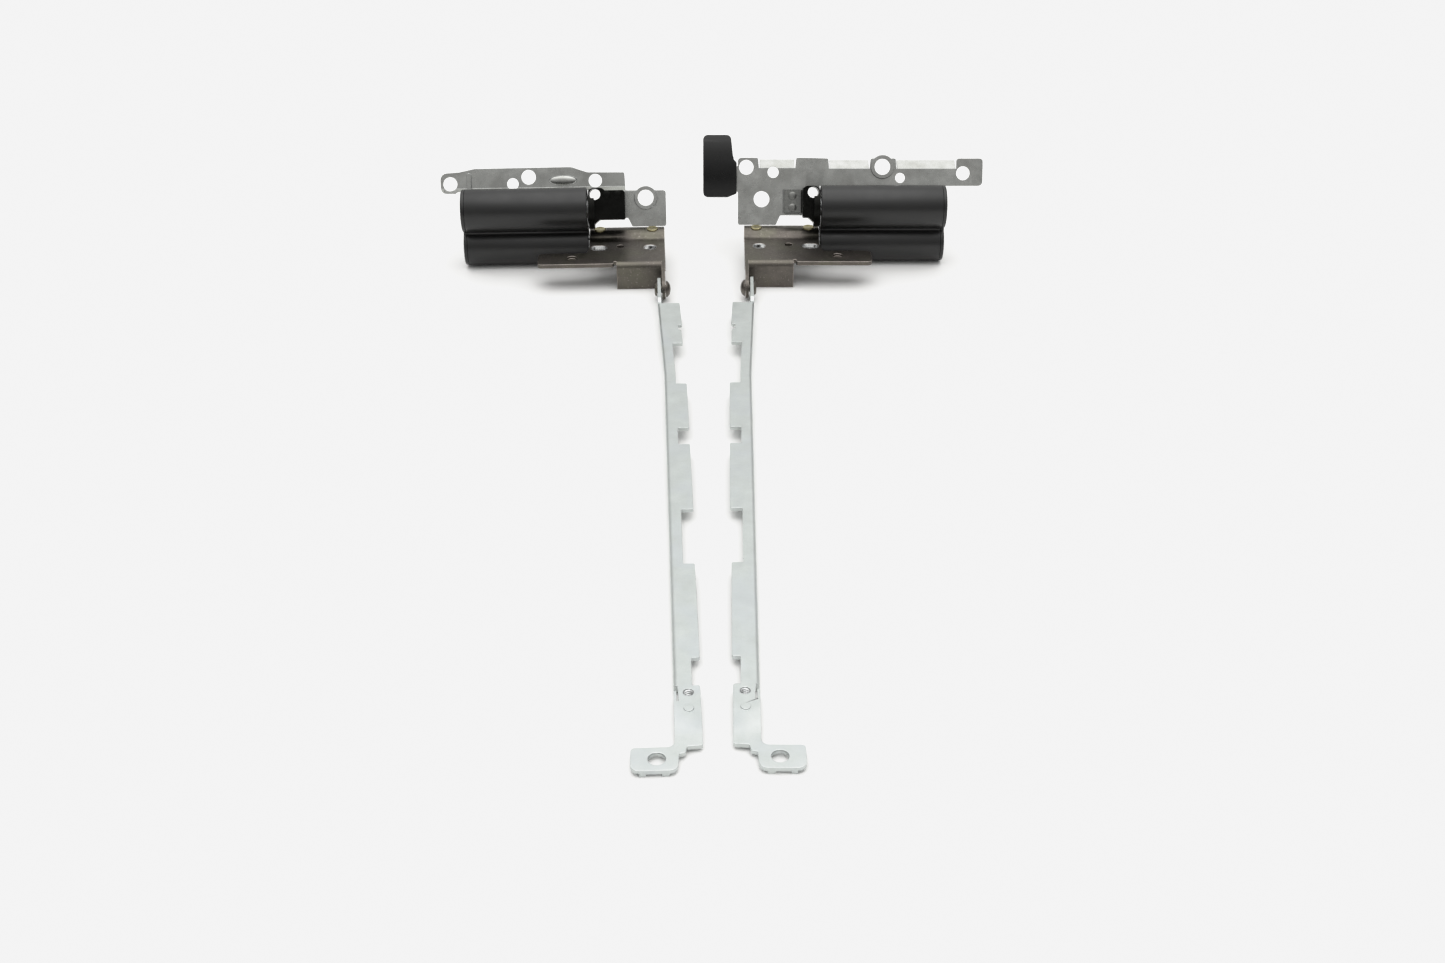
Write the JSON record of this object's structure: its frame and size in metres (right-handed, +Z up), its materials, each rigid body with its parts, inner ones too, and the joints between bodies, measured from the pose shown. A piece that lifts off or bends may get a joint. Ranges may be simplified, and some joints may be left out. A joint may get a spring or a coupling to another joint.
{
  "type": "notebook display hinge set",
  "caption": "Left and right notebook display hinges with slender display arms, twin-shaft friction barrels and perforated base brackets that fold right round.",
  "frame": {"origin": "middle of the underside of the box around both hinges, on the table they lie on", "axes": "+Z up from the table, +Y from the feet of the display arms towards the barrels, +X across the pair towards the right hinge"},
  "size_m": [0.13, 0.1952, 0.0289],
  "materials": {
    "zinc_plate": "satin zinc plate with a faint blue-green cast",
    "nickel_plate": "satin grey nickel plate",
    "bronze_oxide": "dark bronze oxide",
    "black_oxide": "black oxide with an oily sheen",
    "bright_steel": "turned steel",
    "spring_steel": "dull spring steel",
    "brass_rivet": "yellow passivated rivet",
    "black_plastic": "satin moulded plastic",
    "black_rubber": "matt moulded rubber"
  },
  "bodies": {
    "left_display": {"left_display_bracket": "bronze_oxide", "left_display_arm": "zinc_plate", "left_arm_rivet": "bronze_oxide", "left_shaft_rivet_1": "brass_rivet", "left_shaft_rivet_2": "brass_rivet", "left_display_shaft": "bright_steel", "left_display_stop_cam": "bright_steel", "left_display_thrust_washer": "bright_steel", "left_display_disc_springs": "spring_steel", "left_display_lock_nut": "bright_steel"},
    "left_barrel": {"left_barrel_cover": "black_plastic", "left_barrel_end_cap": "black_plastic", "left_inner_link_plate": "black_oxide", "left_outer_link_plate": "black_oxide", "left_friction_clip": "spring_steel"},
    "left_base": {"left_base_bracket": "nickel_plate", "left_base_knuckle": "black_oxide", "left_base_rivet_1": "black_oxide", "left_base_rivet_2": "black_oxide", "left_base_shaft": "bright_steel", "left_base_stop_cam": "bright_steel", "left_base_thrust_washer": "bright_steel", "left_base_disc_springs": "spring_steel", "left_base_lock_nut": "bright_steel"},
    "right_display": {"right_display_bracket": "bronze_oxide", "right_display_arm": "zinc_plate", "right_arm_rivet": "bronze_oxide", "right_shaft_rivet_1": "brass_rivet", "right_shaft_rivet_2": "brass_rivet", "right_display_shaft": "bright_steel", "right_display_stop_cam": "bright_steel", "right_display_thrust_washer": "bright_steel", "right_display_disc_springs": "spring_steel", "right_display_lock_nut": "bright_steel"},
    "right_barrel": {"right_barrel_cover": "black_plastic", "right_barrel_end_cap": "black_plastic", "right_inner_link_plate": "black_oxide", "right_outer_link_plate": "black_oxide", "right_friction_clip": "spring_steel"},
    "right_base": {"right_base_bracket": "nickel_plate", "right_base_knuckle": "black_oxide", "right_base_rivet_1": "black_oxide", "right_base_rivet_2": "black_oxide", "right_base_shaft": "bright_steel", "right_base_stop_cam": "bright_steel", "right_base_thrust_washer": "bright_steel", "right_base_disc_springs": "spring_steel", "right_base_lock_nut": "bright_steel", "right_rubber_block": "black_rubber"}
  },
  "joints": [
    {"name": "hinge_spacing", "type": "slide", "parent": "left_display", "child": "right_display", "axis": [1, 0, 0], "range_m": [0, 0.12]},
    {"name": "left_display_turn", "type": "hinge", "parent": "left_display", "child": "left_barrel", "pos_m": [-0.01246, 0.0857, 0.00469], "axis": [-0.999, -0.0436, 0], "range_deg": [0, 180]},
    {"name": "left_base_turn", "type": "hinge", "parent": "left_barrel", "child": "left_base", "pos_m": [-0.01242, 0.08492, 0.01396], "axis": [-0.999, -0.0436, 0], "range_deg": [-115, 65]},
    {"name": "right_display_turn", "type": "hinge", "parent": "right_display", "child": "right_barrel", "pos_m": [0.00864, 0.0864, 0.00469], "axis": [-1, 0.0017, 0], "range_deg": [0, 180]},
    {"name": "right_base_turn", "type": "hinge", "parent": "right_barrel", "child": "right_base", "pos_m": [0.00864, 0.08562, 0.01396], "axis": [-1, 0.0017, 0], "range_deg": [-115, 65]}
  ]
}
